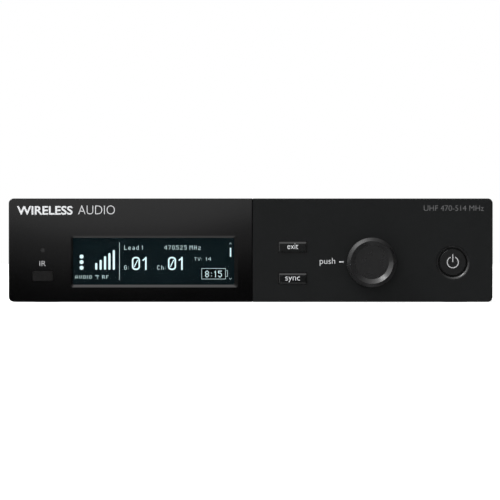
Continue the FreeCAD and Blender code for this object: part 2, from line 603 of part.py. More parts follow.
def make_components():
    nodes["rf_shield_a"] = shield(-86.0, -44.0, 60.0, 112.0, 7.0)
    nodes["rf_shield_b"] = shield(44.0, 86.0, 60.0, 112.0, 7.0)
    nodes["audio_shield"] = shield(-38.0, -8.0, 66.0, 108.0, 6.0)
    chips = [block(x - s / 2, x + s / 2, d - s / 2, d + s / 2, BOARD_TOP, BOARD_TOP + 1.4)
             for x, d, s in ((14.0, 60.0, 16.0), (14.0, 84.0, 14.0), (32.0, 70.0, 9.0), (-22.0, 46.0, 12.0),
                             (32.0, 52.0, 8.0), (-50.0, 44.0, 9.0))]
    nodes["processor_chips"] = Part.makeCompound(chips)
    cans = [post(x, d, r, BOARD_TOP, BOARD_TOP + h)
            for x, d, r, h in ((68.0, 124.0, 4.0, 11.0), (56.0, 122.0, 4.0, 11.0), (44.0, 121.0, 3.2, 7.0),
                               (-66.0, 122.0, 3.2, 7.0), (-58.0, 121.0, 3.2, 7.0), (26.0, 112.0, 3.2, 7.0),
                               (72.0, 44.0, 3.2, 7.0), (62.0, 44.0, 3.2, 7.0))]
    nodes["filter_capacitors"] = Part.makeCompound(cans)
    coils = [block(x - 4, x + 4, d - 4, d + 4, BOARD_TOP, BOARD_TOP + 5.0)
             for x, d in ((80.0, 130.0), (32.0, 100.0), (50.0, 46.0))]
    nodes["power_inductors"] = Part.makeCompound(coils)


def make_ribbons():
    """Flat cables from the two front boards to the main board, and their connectors."""
    ribbons, sockets = [], []
    ribbon_t, run_z, drop_d, socket_h = 0.6, 24.0, 33.0, 4.0
    for x, start, half in ((-40.0, DISPLAY_BOARD_END, 14.0), (45.0, CONTROL_BOARD_END, 11.0)):
        tip = start + 2.4
        sockets.append(block(x - half - 1.5, x + half + 1.5, start, tip, run_z - 1.8, run_z + 2.4))
        sockets.append(block(x - half - 1.5, x + half + 1.5, drop_d - 2.0, drop_d + 2.6, BOARD_TOP,
                             BOARD_TOP + socket_h))
        path = joined([block(x - half, x + half, tip, drop_d + ribbon_t, run_z, run_z + ribbon_t),
                       block(x - half, x + half, drop_d, drop_d + ribbon_t, BOARD_TOP + socket_h,
                             run_z + ribbon_t)])
        bend = [e for e in path.Edges if abs(e.BoundBox.ZMin - run_z - ribbon_t) < 1e-6
                and abs(e.BoundBox.YMin - FACE_Y - drop_d - ribbon_t) < 1e-6 and e.BoundBox.XLength > half]
        ribbons.append(path.makeFillet(0.5, bend))
    nodes["ribbon_cables"] = Part.makeCompound(ribbons)
    nodes["ribbon_connectors"] = Part.makeCompound(sockets)


# ---- rear connectors ------------------------------------------------------
def make_antenna_jacks():
    tip = CASE_DEPTH + JACK_PROUD
    insulators, contacts, nuts = [], [], []
    for name, x in (("antenna_jack_a", -ANTENNA_X), ("antenna_jack_b", ANTENNA_X)):
        centre = (x, ANTENNA_Z)
        bore_end = tip - 8.5
        shell = turned(centre, [
            (2.3, CASE_DEPTH - 10.0), (6.8, CASE_DEPTH - 10.0), (6.8, REAR_INNER - 0.0),
            (ANTENNA_THREAD_R, REAR_INNER), (ANTENNA_THREAD_R, CASE_DEPTH + 3.2),
            (4.8, CASE_DEPTH + 3.5), (4.8, tip - 0.3), (4.5, tip), (4.05, tip),
            (4.05, bore_end), (2.3, bore_end)])
        lugs = Part.makeCylinder(1.0, 11.4, V(x, FACE_Y + tip - 4.2, ANTENNA_Z - 5.7), V(0, 0, 1))
        shell = joined([shell, lugs.cut(rod(centre, 4.4, bore_end, tip))])
        nodes[name] = shell
        core = turned(centre, [(0.9, CASE_DEPTH - 10.0), (2.3, CASE_DEPTH - 10.0), (2.3, tip - 1.5),
                               (0.9, tip - 1.5)])
        insulators.append(core)
        contact = turned(centre, [(0, CASE_DEPTH - 13.0), (0.9, CASE_DEPTH - 13.0), (0.9, tip - 1.8),
                                  (0.45, tip - 1.8), (0.45, tip - 6.0), (0, tip - 6.0)])
        contacts.append(contact)
        nut = hexagon(centre, 14.0, CASE_DEPTH, CASE_DEPTH + 2.6)
        nut = nut.common(turned(centre, [(0, CASE_DEPTH), (8.1, CASE_DEPTH), (8.1, CASE_DEPTH + 2.0),
                                         (7.2, CASE_DEPTH + 2.6), (0, CASE_DEPTH + 2.6)]))
        nuts.append(nut.cut(rod(centre, ANTENNA_THREAD_R + FIT, CASE_DEPTH, CASE_DEPTH + 2.6)))
    nodes["antenna_jack_insulators"] = Part.makeCompound(insulators)
    nodes["antenna_jack_contacts"] = Part.makeCompound(contacts)
    nodes["antenna_jack_nuts"] = Part.makeCompound(nuts)


def xlr_screw_places():
    x, z = XLR_CENTRE
    return [(x - 9.5, z + 12.0), (x + 9.5, z - 12.0)]


def make_xlr():
    x, z = XLR_CENTRE
    mouth = CASE_DEPTH + 2.0
    floor = mouth - 15.0
    flange = slab(XLR_CENTRE, (26.0, 31.0), 2.5, CASE_DEPTH, mouth)
    flange = flange.makeFillet(0.6, front_edges(flange, mouth))
    shell = joined([flange, rod(XLR_CENTRE, XLR_CUP_R, floor - 6.0, mouth - 0.5)])
    tools = [turned(XLR_CENTRE, [(0, floor - 4.5), (XLR_BORE_R, floor - 4.5), (XLR_BORE_R, mouth - 0.6),
                                 (XLR_BORE_R + 0.6, mouth), (0, mouth)])]
    tools += [block(x - 1.6, x + 1.6, floor, mouth, z + XLR_BORE_R - 0.6, z + XLR_BORE_R + 1.2)]
    tools += [rod(c, SCREW_XLR[2] + 0.2, CASE_DEPTH, mouth) for c in xlr_screw_places()]
    pin_places = [(x + 5.0 * math.cos(math.radians(a)), z + 5.0 * math.sin(math.radians(a)))
                  for a in (35.0, 145.0, 270.0)]
    tools += [rod(c, 1.4, floor - 6.0, floor - 4.5) for c in pin_places]
    nodes["xlr_shell"] = cut_all(shell, tools)
    insert = rod(XLR_CENTRE, XLR_BORE_R, floor - 4.5, floor)
    nodes["xlr_insert"] = cut_all(insert, [rod(c, XLR_PIN_R, floor - 4.5, floor) for c in pin_places])
    pins = []
    for c in pin_places:
        pin = rod(c, XLR_PIN_R, floor - 9.0, mouth - 2.5)
        pins.append(pin.makeFillet(0.7, front_edges(pin, mouth - 2.5)))
    nodes["xlr_pins"] = Part.makeCompound(pins)
    fixing = screw(*SCREW_XLR)
    nodes["xlr_screws"] = Part.makeCompound([placed(fixing, c[0], mouth, c[1], V(0, 1, 0))
                                             for c in xlr_screw_places()])


def make_phone_jack():
    x, z = PHONE_CENTRE
    tip = CASE_DEPTH + 3.2
    back = REAR_INNER - 24.0
    body = joined([block(x - 8, x + 8, back, REAR_INNER, BOARD_TOP, z + 8),
                   rod(PHONE_CENTRE, PHONE_NOSE_R, REAR_INNER - 1, tip)])
    tools = [rod(PHONE_CENTRE, PHONE_BORE_R, REAR_INNER - 6.0, tip),
             rod(PHONE_CENTRE, PHONE_BORE_R + 0.4, back + 1.5, REAR_INNER - 6.0)]
    slots = [block(x + PHONE_BORE_R - 0.5, x + 5.6, back + d, back + d + 3.0, z - 1.2, z + 1.2)
             for d in (3.5, 9.5, 14.5)]
    nodes["phone_jack_body"] = cut_all(body, tools + slots)
    nodes["phone_jack_contacts"] = Part.makeCompound([
        block(x + 4.4, x + 5.6, back + d, back + d + 3.0, z - 1.2, z + 1.2) for d in (3.5, 9.5, 14.5)])
    nut = hexagon(PHONE_CENTRE, 12.0, CASE_DEPTH, CASE_DEPTH + 2.4)
    nut = nut.common(turned(PHONE_CENTRE, [(0, CASE_DEPTH), (6.9, CASE_DEPTH), (6.9, CASE_DEPTH + 1.9),
                                           (6.1, CASE_DEPTH + 2.4), (0, CASE_DEPTH + 2.4)]))
    nodes["phone_jack_nut"] = nut.cut(rod(PHONE_CENTRE, PHONE_NOSE_R + FIT, CASE_DEPTH, CASE_DEPTH + 2.4))


def make_network_jack():
    x, z = NETWORK_CENTRE
    half_w, half_h = NETWORK_SIZE[0] / 2, NETWORK_SIZE[1] / 2
    mouth = CASE_DEPTH + 0.5
    back = mouth - 21.0
    housing = block(x - half_w, x + half_w, back, mouth, BOARD_TOP, z + half_h)
    tools = [block(x - 5.9, x + 5.9, mouth - 14.0, mouth, z - 3.4, z + 3.6),
             block(x - 2.9, x + 2.9, mouth - 14.0, mouth, z - 4.6, z - 3.4),
             block(x - 2.0, x + 2.0, mouth - 14.0, mouth, z - 5.6, z - 4.6)]
    wires = []
    for i in range(8):
        wire_x = x + (i - 3.5) * 1.02
        tools.append(block(wire_x - 0.2, wire_x + 0.2, mouth - 17.0, mouth - 14.0, z + 2.7, z + 3.2))
        wires.append(block(wire_x - 0.2, wire_x + 0.2, mouth - 17.0, mouth - 3.0, z + 2.7, z + 3.2))
    housing = cut_all(housing, tools)
    nodes["network_jack_housing"] = housing
    nodes["network_jack_contacts"] = Part.makeCompound(wires)


def make_power_inlet():
    x, z = POWER_INLET_CENTRE
    mouth = CASE_DEPTH + 0.8
    back = mouth - 15.0
    body = joined([block(x - 5.0, x + 5.0, back, REAR_INNER, BOARD_TOP, z + 5.4),
                   rod(POWER_INLET_CENTRE, INLET_NOSE_R, REAR_INNER - 0.5, mouth)])
    bore = turned(POWER_INLET_CENTRE, [(0, mouth - 10.0), (3.0, mouth - 10.0), (3.0, mouth - 0.5),
                                       (3.5, mouth), (0, mouth)])
    nodes["power_inlet_body"] = cut_all(body, [bore, rod(POWER_INLET_CENTRE, 1.0, back + 2, mouth - 10.0)])
    pin = rod(POWER_INLET_CENTRE, 1.0, back + 2, mouth - 1.5)
    nodes["power_inlet_pin"] = pin.makeFillet(0.5, front_edges(pin, mouth - 1.5))


def make_cord_retainer():
    """A loop that the supply's cord is threaded through, pinned into the rear panel."""
    x, z = RETAINER_CENTRE
    start = CASE_DEPTH
    foot = slab((x, z), (9.4, 6.0), 1.0, start, start + 1.4)
    arch = block(x - 4.3, x + 4.3, start + 1.4, start + 9.0, z - 2.0, z + 2.0)
    arch = arch.makeFillet(1.6, [e for e in arch.Edges if e.BoundBox.YMin > FACE_Y + start + 8.9
                                 and e.BoundBox.ZLength > 3.0])
    gap = block(x - 2.5, x + 2.5, start + 1.4, start + 7.2, z - 3.0, z + 3.0)
    stud = rod((x, z), 1.2, REAR_INNER - 0.8, start)
    head = rod((x, z), 1.9, REAR_INNER - 0.8, REAR_INNER)
    nodes["cord_retainer"] = joined([foot, arch.cut(gap), stud, head])


def switch_slot_centre():
    return (SWITCH_CENTRE[0] + SWITCH_TRAVEL / 2, SWITCH_CENTRE[1])


def make_level_switch():
    x, z = switch_slot_centre()
    travel_w = SWITCH_SLIDER[0] + SWITCH_TRAVEL
    body = block(x - 6.0, x + 6.0, REAR_INNER - 7.0, REAR_INNER, BOARD_TOP, z + 3.4)
    base_w = SWITCH_SLIDER[0] + 2.0
    cavity = block(x - (base_w + SWITCH_TRAVEL) / 2 - 0.2, x + (base_w + SWITCH_TRAVEL) / 2 + 0.2,
                   REAR_INNER - 4.6, REAR_INNER - 1.0, z - 1.6, z + 1.6)
    mouth = block(x - travel_w / 2 - 0.3, x + travel_w / 2 + 0.3, REAR_INNER - 1.0, REAR_INNER,
                  z - SWITCH_SLIDER[1] / 2 - 0.3, z + SWITCH_SLIDER[1] / 2 + 0.3)
    nodes["level_switch_body"] = cut_all(body, [cavity, mouth])
    sx, sz = SWITCH_CENTRE
    base = block(sx - base_w / 2, sx + base_w / 2, REAR_INNER - 4.4, REAR_INNER - 1.3, sz - 1.35, sz + 1.35)
    tip = CASE_DEPTH + 2.0
    knob = slab(SWITCH_CENTRE, SWITCH_SLIDER, 0.3, REAR_INNER - 1.3, tip)
    grips = [block(sx + dx - 0.12, sx + dx + 0.12, tip - 0.3, tip, sz - 2, sz + 2) for dx in (-0.6, 0.0, 0.6)]
    nodes["level_switch_slider"] = cut_all(joined([base, knob]), grips)


def build():
    plate = bezel_blank()
    nodes["display_fascia"] = make_display_fascia(plate)
    nodes["control_fascia"] = make_control_fascia(plate)
    nodes["front_frame"] = make_front_frame()
    make_display()
    for name, z in BUTTON_Z.items():
        nodes[name] = make_button(z)
    nodes["power_button"] = make_power_button()
    nodes["control_knob"] = make_knob()
    make_encoder()
    make_front_boards()
    nodes["base_tray"] = make_base_tray()
    nodes["top_cover"] = make_top_cover()
    nodes["rear_panel"] = make_rear_panel()
    make_case_hardware()
    make_main_board()
    make_components()
    make_ribbons()
    make_antenna_jacks()
    make_xlr()
    make_phone_jack()
    make_network_jack()
    make_power_inlet()
    make_cord_retainer()
    make_level_switch()


build()
os.makedirs("parts", exist_ok=True)
for name, shape in nodes.items():
    shape.exportStep(os.path.join("parts", name + ".step"))
print(len(nodes), "parts written")
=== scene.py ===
import json
import math

import bmesh
import bpy
from mathutils import Matrix, Vector


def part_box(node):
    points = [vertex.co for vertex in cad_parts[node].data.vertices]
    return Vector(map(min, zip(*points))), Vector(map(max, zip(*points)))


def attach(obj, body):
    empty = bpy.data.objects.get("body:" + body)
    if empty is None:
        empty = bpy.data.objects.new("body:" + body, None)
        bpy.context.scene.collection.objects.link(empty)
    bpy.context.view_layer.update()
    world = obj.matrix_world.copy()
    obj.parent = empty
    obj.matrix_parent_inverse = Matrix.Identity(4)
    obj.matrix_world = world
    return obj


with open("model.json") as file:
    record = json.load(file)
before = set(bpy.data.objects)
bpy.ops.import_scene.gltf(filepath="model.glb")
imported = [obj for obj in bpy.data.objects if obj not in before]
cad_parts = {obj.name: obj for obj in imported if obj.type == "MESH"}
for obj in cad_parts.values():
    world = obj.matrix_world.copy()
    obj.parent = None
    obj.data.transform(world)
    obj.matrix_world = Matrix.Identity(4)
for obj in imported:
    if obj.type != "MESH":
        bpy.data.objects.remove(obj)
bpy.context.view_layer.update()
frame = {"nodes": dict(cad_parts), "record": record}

# A half-rack wireless audio receiver, seen straight from the front. Everything is in metres in
# the row frame: +X right, +Z up, the front faces -Y. CAD nodes keep their shapes and get their
# finishes here; the lettering, the lit readout, the power symbol and the trim of its ring are added
# as thin raised pieces.

nodes = frame["nodes"]
MM = 0.001


# ---- places read from the frame -------------------------------------------
gloss_lo, gloss_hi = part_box("display_fascia")
_, matt_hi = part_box("control_fascia")
window_lo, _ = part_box("display_window")
module_lo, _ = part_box("display_module")
ir_lo, ir_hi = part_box("ir_window")
knob_lo, knob_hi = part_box("control_knob")
power_lo, power_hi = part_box("power_button")
_, panel_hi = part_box("rear_panel")

FACE_Y = gloss_lo.y
BEZEL_W = matt_hi.x - gloss_lo.x
BEZEL_TOP = gloss_hi.z
knob_centre = (knob_lo + knob_hi) / 2
power_centre = (power_lo + power_hi) / 2
PRINT_T = 0.03 * MM            # thickness of screen-printed lettering
NOISE_RANGE = (0.3, 0.7)       # nearly all of a noise texture's values lie between these


# ---- node material helpers -------------------------------------------------
class Finish:
    """A Principled material with procedural colour, roughness and bump in object space."""

    def __init__(self, name, colour, roughness, metallic=0.0, **constants):
        self.material = bpy.data.materials.new(name)
        self.material.use_nodes = True
        self.tree = self.material.node_tree
        self.shader = next(n for n in self.tree.nodes if n.type == "BSDF_PRINCIPLED")
        self.colour = colour
        self.shader.inputs["Base Color"].default_value = (*colour, 1)
        self.shader.inputs["Roughness"].default_value = roughness
        self.shader.inputs["Metallic"].default_value = metallic
        for socket, value in constants.items():
            self.shader.inputs[socket.replace("_", " ")].default_value = value
        self.roughness = roughness
        self.coords = self.tree.nodes.new("ShaderNodeTexCoord").outputs["Object"]
        self.height = None

    def noise(self, size, detail=4.0, stretch=(1, 1, 1)):
        """Noise whose features are about size metres across, optionally stretched."""
        mapping = self.tree.nodes.new("ShaderNodeMapping")
        mapping.inputs["Scale"].default_value = [1 / (size * s) for s in stretch]
        self.tree.links.new(self.coords, mapping.inputs["Vector"])
        noise = self.tree.nodes.new("ShaderNodeTexNoise")
        noise.inputs["Scale"].default_value = 1.0
        noise.inputs["Detail"].default_value = detail
        noise.inputs["Roughness"].default_value = 0.5
        self.tree.links.new(mapping.outputs["Vector"], noise.inputs["Vector"])
        return noise.outputs["Fac"]

    def spread(self, value, low, high):
        """Map a noise value to a range."""
        node = self.tree.nodes.new("ShaderNodeMapRange")
        for socket, number in zip(("From Min", "From Max", "To Min", "To Max"), (*NOISE_RANGE, low, high)):
            node.inputs[socket].default_value = number
        self.tree.links.new(value, node.inputs["Value"])
        return node.outputs["Result"]

    def mottle(self, size, amount, tint=(1, 1, 1), detail=3.0):
        """Vary the base colour by a share of itself, towards a tint at the high end."""
        ramp = self.tree.nodes.new("ShaderNodeValToRGB")
        low = [c * (1 - amount) for c in self.colour]
        high = [c * (1 + amount) * t for c, t in zip(self.colour, tint)]
        for element, colour, place in zip(ramp.color_ramp.elements, (low, high), NOISE_RANGE):
            element.color = (*colour, 1)
            element.position = place
        self.tree.links.new(self.noise(size, detail), ramp.inputs["Fac"])
        self.tree.links.new(ramp.outputs["Color"], self.shader.inputs["Base Color"])
        return self

    def polish(self, size, amount, stretch=(1, 1, 1), detail=4.0):
        """Vary the roughness by plus or minus an amount."""
        low, high = self.roughness - amount, self.roughness + amount
        value = self.spread(self.noise(size, detail, stretch), low, high)
        self.tree.links.new(value, self.shader.inputs["Roughness"])
        return self

    def grain(self, size, depth, detail=2.0, stretch=(1, 1, 1)):
        """Bump of a feature size and depth in metres; calls add up."""
        bump = self.tree.nodes.new("ShaderNodeBump")
        bump.inputs["Strength"].default_value = 1.0
        bump.inputs["Distance"].default_value = depth
        self.tree.links.new(self.noise(size, detail, stretch), bump.inputs["Height"])
        if self.height is not None:
            self.tree.links.new(self.height, bump.inputs["Normal"])
        self.height = bump.outputs["Normal"]
        self.tree.links.new(self.height, self.shader.inputs["Normal"])
        return self


def moulded(name, colour, roughness, grain_size=0.35 * MM, grain_depth=0.02 * MM, **constants):
    """Moulded plastic with a fine spark-eroded grain."""
    return (Finish(name, colour, roughness, **constants)
            .mottle(9 * MM, 0.12).polish(2.5 * MM, 0.05).grain(grain_size, grain_depth).material)


def moulded_smooth(name, colour, roughness, **constants):
    """Polished moulded plastic with only the faintest ripple."""
    return (Finish(name, colour, roughness, **constants).mottle(7 * MM, 0.1)
            .polish(2.0 * MM, 0.015).grain(1.2 * MM, 0.0006 * MM, 1.0).material)


def plated(name, colour, roughness, streak=(1, 14, 1)):
    """Plated metal with fine turning marks along one direction."""
    return (Finish(name, colour, roughness, metallic=1.0)
            .mottle(3 * MM, 0.10, (1, 0.99, 0.97)).polish(0.6 * MM, 0.08, streak)
            .grain(0.12 * MM, 0.004 * MM, 2.0, streak).material)


def lit_finish(name, strength):
    """The pale cyan of lit display dots."""
    lit = Finish(name, (0.4, 0.5, 0.5), 0.5).mottle(0.5 * MM, 0.06)
    lit.shader.inputs["Emission Color"].default_value = (0.90, 0.985, 0.985, 1)
    lit.shader.inputs["Emission Strength"].default_value = strength
    return lit.material


def make_finishes():
    """One finish for each of the record's material slots."""
    gloss = Finish("gloss_fascia", (0.0010, 0.0010, 0.0011), 0.026, IOR=1.5)
    gloss.mottle(30 * MM, 0.2).polish(14 * MM, 0.003, detail=2.0)
    window = Finish("window_glass", (0.80, 0.88, 0.90), 0.02, IOR=1.05)
    window.shader.inputs["Transmission Weight"].default_value = 1.0
    window.polish(6 * MM, 0.012).mottle(20 * MM, 0.02)
    screen = Finish("display_panel", (0.002, 0.004, 0.0045), 0.35, IOR=1.1)
    screen.mottle(5 * MM, 0.06)
    screen.shader.inputs["Emission Color"].default_value = (0.0019, 0.0046, 0.0060, 1)
    screen.shader.inputs["Emission Strength"].default_value = 1.0
    led = Finish("light_pipe", (0.011, 0.011, 0.0115), 0.3)
    led.mottle(0.7 * MM, 0.25).polish(0.5 * MM, 0.06)
    steel = plated("steel", (0.45, 0.45, 0.44), 0.32)
    board = Finish("board", (0.010, 0.060, 0.026), 0.35).mottle(2 * MM, 0.3).grain(0.5 * MM, 0.02 * MM)
    return {
        "gloss_fascia": gloss.material,
        "matt_fascia": moulded("matt_fascia", (0.0020, 0.0027, 0.0030), 0.46, 0.30 * MM, 0.012 * MM,
                               Specular_IOR_Level=0.40),
        "frame_plastic": moulded("frame_plastic", (0.008, 0.008, 0.0085), 0.5, 0.4 * MM, 0.02 * MM),
        "window_glass": window.material,
        "display_panel": screen.material,
        "display_light": lit_finish("display_light", 0.74),
        "foam": moulded("foam", (0.006, 0.006, 0.006), 0.9, 0.25 * MM, 0.06 * MM),
        "ir_filter": (Finish("ir_filter", (0.0032, 0.0030, 0.0031), 0.30, Specular_IOR_Level=0.4)
                      .mottle(2 * MM, 0.1).polish(1.2 * MM, 0.04).grain(0.25 * MM, 0.006 * MM).material),
        "light_pipe": led.material,
        "button_plastic": moulded_smooth("button_plastic", (0.0008, 0.0011, 0.0012), 0.09),
        "knob_plastic": moulded("knob_plastic", (0.0064, 0.0064, 0.0067), 0.30, 0.22 * MM, 0.004 * MM),
        "case_paint": (Finish("case_paint", (0.0090, 0.0090, 0.0095), 0.45, Specular_IOR_Level=0.22)
                       .mottle(12 * MM, 0.10).polish(2 * MM, 0.05).grain(0.5 * MM, 0.035 * MM, 3.0).material),
        "screw_black": plated("screw_black", (0.045, 0.045, 0.048), 0.36, (1, 1, 1)),
        "nickel": plated("nickel", (0.60, 0.585, 0.55), 0.24),
        "steel": steel,
        "tin": plated("tin", (0.52, 0.52, 0.52), 0.38),
        "gold": plated("gold", (0.72, 0.50, 0.20), 0.26),
        "board": board.material,
        "black_nylon": moulded("black_nylon", (0.010, 0.010, 0.0105), 0.42, 0.45 * MM, 0.018 * MM),
        "white_plastic": moulded("white_plastic", (0.66, 0.65, 0.60), 0.4, 0.3 * MM, 0.01 * MM),
        "chip": moulded("chip", (0.012, 0.012, 0.013), 0.6, 0.15 * MM, 0.01 * MM),
        "capacitor_can": plated("capacitor_can", (0.55, 0.55, 0.57), 0.3),
        "ferrite": moulded("ferrite", (0.03, 0.03, 0.03), 0.7, 0.4 * MM, 0.03 * MM),
        "ribbon": moulded("ribbon", (0.55, 0.55, 0.52), 0.5, 1.0 * MM, 0.01 * MM),
        "foot_rubber": moulded("foot_rubber", (0.010, 0.010, 0.010), 0.78, 0.3 * MM, 0.03 * MM),
        "legend_print": (Finish("legend_print", (0.55, 0.56, 0.57), 0.55).mottle(0.6 * MM, 0.07)
                         .grain(0.12 * MM, 0.004 * MM).material),
    }


def dress_nodes(finishes):
    """Give every CAD node the finish of its slot; the power button's cap is satin, not glossy."""
    slot_of = {part["node"]: part["material_slot"] for part in frame["record"]["subparts"]}
    satin = moulded("button_satin", (0.0040, 0.0043, 0.0044), 0.34, 0.25 * MM, 0.003 * MM,
                    Specular_IOR_Level=0.4)
    for name, node in nodes.items():
        node.data.materials.clear()
        node.data.materials.append(satin if name == "power_button" else finishes[slot_of[name]])


# ---- thin printed and lit pieces -------------------------------------------
FRONT = Matrix(((1, 0, 0, 0), (0, 0, -1, 0), (0, 1, 0, 0), (0, 0, 0, 1)))
REAR = Matrix(((-1, 0, 0, 0), (0, 0, 1, 0), (0, 1, 0, 0), (0, 0, 0, 1)))


def piece_from(bm, name, finish, body, facing, origin):
    """A flat bmesh drawn in x and y, with its thickness along z, turned to face front or rear."""
    mesh = bpy.data.meshes.new(name)
    bmesh.ops.recalc_face_normals(bm, faces=bm.faces)
    bm.transform(Matrix.Translation(origin) @ facing)
    bm.to_mesh(mesh)
    bm.free()
    mesh.materials.append(finish)
    piece = bpy.data.objects.new(name, mesh)
    bpy.context.scene.collection.objects.link(piece)
    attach(piece, body)
    return piece


def type_mesh(text, weight=0.0):
    """A font mesh of unit size on its baseline, one unit thick."""
    curve = bpy.data.curves.new("type", "FONT")
    curve.body = text
    curve.size = 1.0
    curve.offset = weight
    curve.extrude = 0.5
    curve.resolution_u = 6
    holder = bpy.data.objects.new("type", curve)
    bpy.context.scene.collection.objects.link(holder)
    bpy.context.view_layer.update()
    mesh = bpy.data.meshes.new_from_object(holder.evaluated_get(bpy.context.evaluated_depsgraph_get()))
    bpy.data.objects.remove(holder)
    return mesh


def legend(name, text, place, cap_height, finish, body="chassis", facing=FRONT, align="left",
           weight=0.0, width=None):
    """Printed words with their baseline at place; width squeezes or stretches them to fit."""
    mesh, capital = type_mesh(text, weight), type_mesh("H", weight)
    cap = max(v.co.y for v in capital.vertices) - min(v.co.y for v in capital.vertices)
    bm = bmesh.new()
    bm.from_mesh(mesh)
    for used in (mesh, capital):
        bpy.data.meshes.remove(used)
    bmesh.ops.remove_doubles(bm, verts=bm.verts, dist=1e-5)
    left = min(v.co.x for v in bm.verts)
    span = max(v.co.x for v in bm.verts) - left
    scale = cap_height / cap
    across = scale if width is None else width / span
    shift = {"left": 0.0, "centre": -0.5, "right": -1.0}[align] * span * across
    for v in bm.verts:
        v.co = Vector(((v.co.x - left) * across + shift, v.co.y * scale, (v.co.z + 0.5) * PRINT_T))
    piece_from(bm, name, finish, body, facing, place)


def add_plate(bm, points, thickness):
    """A closed prism from a ring of (x, y) points."""
    low = [bm.verts.new((x, y, 0)) for x, y in points]
    high = [bm.verts.new((x, y, thickness)) for x, y in points]
    bm.faces.new(list(reversed(low)))
    bm.faces.new(high)
    for i in range(len(points)):
        j = (i + 1) % len(points)
        bm.faces.new((low[i], low[j], high[j], high[i]))


def add_ring(bm, outer, inner, thickness):
    """A closed band between two rings with the same number of (x, y) points."""
    levels = ((outer, 0), (outer, thickness), (inner, thickness), (inner, 0))
    rings = [[bm.verts.new((x, y, z)) for x, y in points] for points, z in levels]
    for i in range(len(outer)):
        j = (i + 1) % len(outer)
        for here, there in zip(rings, rings[1:] + rings[:1]):
            bm.faces.new((here[i], here[j], there[j], there[i]))


def add_bar(bm, x0, y0, x1, y1, thickness):
    """A solid rectangle."""
    add_plate(bm, [(x0, y0), (x1, y0), (x1, y1), (x0, y1)], thickness)


def add_capsule(bm, x, y0, y1, width, thickness, steps=10):
    """An upright round-ended bar; a dot when y1 - y0 equals the width."""
    r = width / 2
    arc = [math.pi * i / steps for i in range(steps + 1)]
    top = [(x + r * math.cos(a), y1 - r + r * math.sin(a)) for a in arc]
    bottom = [(x - r * math.cos(a), y0 + r - r * math.sin(a)) for a in arc]
    if y1 - y0 - width < 1e-7:                  # the halves of a dot share their end points
        top, bottom = top[:-1], bottom[:-1]
    add_plate(bm, top + bottom, thickness)


def add_stroke(bm, a, b, width, thickness):
    """A straight stroke between two points."""
    along = (Vector(b) - Vector(a)).normalized()
    side = Vector((-along.y, along.x)) * width / 2
    corners = [Vector(a) - side, Vector(b) - side, Vector(b) + side, Vector(a) + side]
    add_plate(bm, [tuple(c) for c in corners], thickness)


# ---- the lit readout ---------------------------------------------------------
# Characters seven dots high, rows from the top; lit dots are ones. Most are four columns wide.
DOTS = {
    "A": "0110 1001 1001 1001 1111 1001 1001", "C": "0110 1001 1000 1000 1000 1001 0110",
    "D": "1110 1001 1001 1001 1001 1001 1110", "F": "1111 1000 1000 1110 1000 1000 1000",
    "G": "0110 1001 1000 1011 1001 1001 0110", "H": "1001 1001 1001 1111 1001 1001 1001",
    "I": "1 1 1 1 1 1 1", "L": "1000 1000 1000 1000 1000 1000 1111",
    "M": "10001 11011 10101 10101 10001 10001 10001", "O": "0110 1001 1001 1001 1001 1001 0110",
    "R": "1110 1001 1001 1110 1010 1001 1001", "T": "11111 00100 00100 00100 00100 00100 00100",
    "U": "1001 1001 1001 1001 1001 1001 0110", "V": "10001 10001 10001 01010 01010 01010 00100",
    "a": "0000 0000 0110 0001 0111 1001 0111", "d": "0001 0001 0111 1001 1001 1001 0111",
    "e": "0000 0000 0110 1001 1111 1000 0111", "h": "1000 1000 1110 1001 1001 1001 1001",
    "z": "0000 0000 1111 0001 0110 1000 1111",
    "0": "0110 1001 1001 1001 1001 1001 0110", "1": "01 11 01 01 01 01 01",
    "2": "0110 1001 0001 0010 0100 1000 1111", "4": "0001 0011 0101 1001 1111 0001 0001",
    "5": "1111 1000 1110 0001 0001 1001 0110", "7": "1111 0001 0001 0010 0010 0100 0100",
    "8": "0110 1001 1001 0110 1001 1001 0110", ":": "0 0 1 0 0 1 0",
}


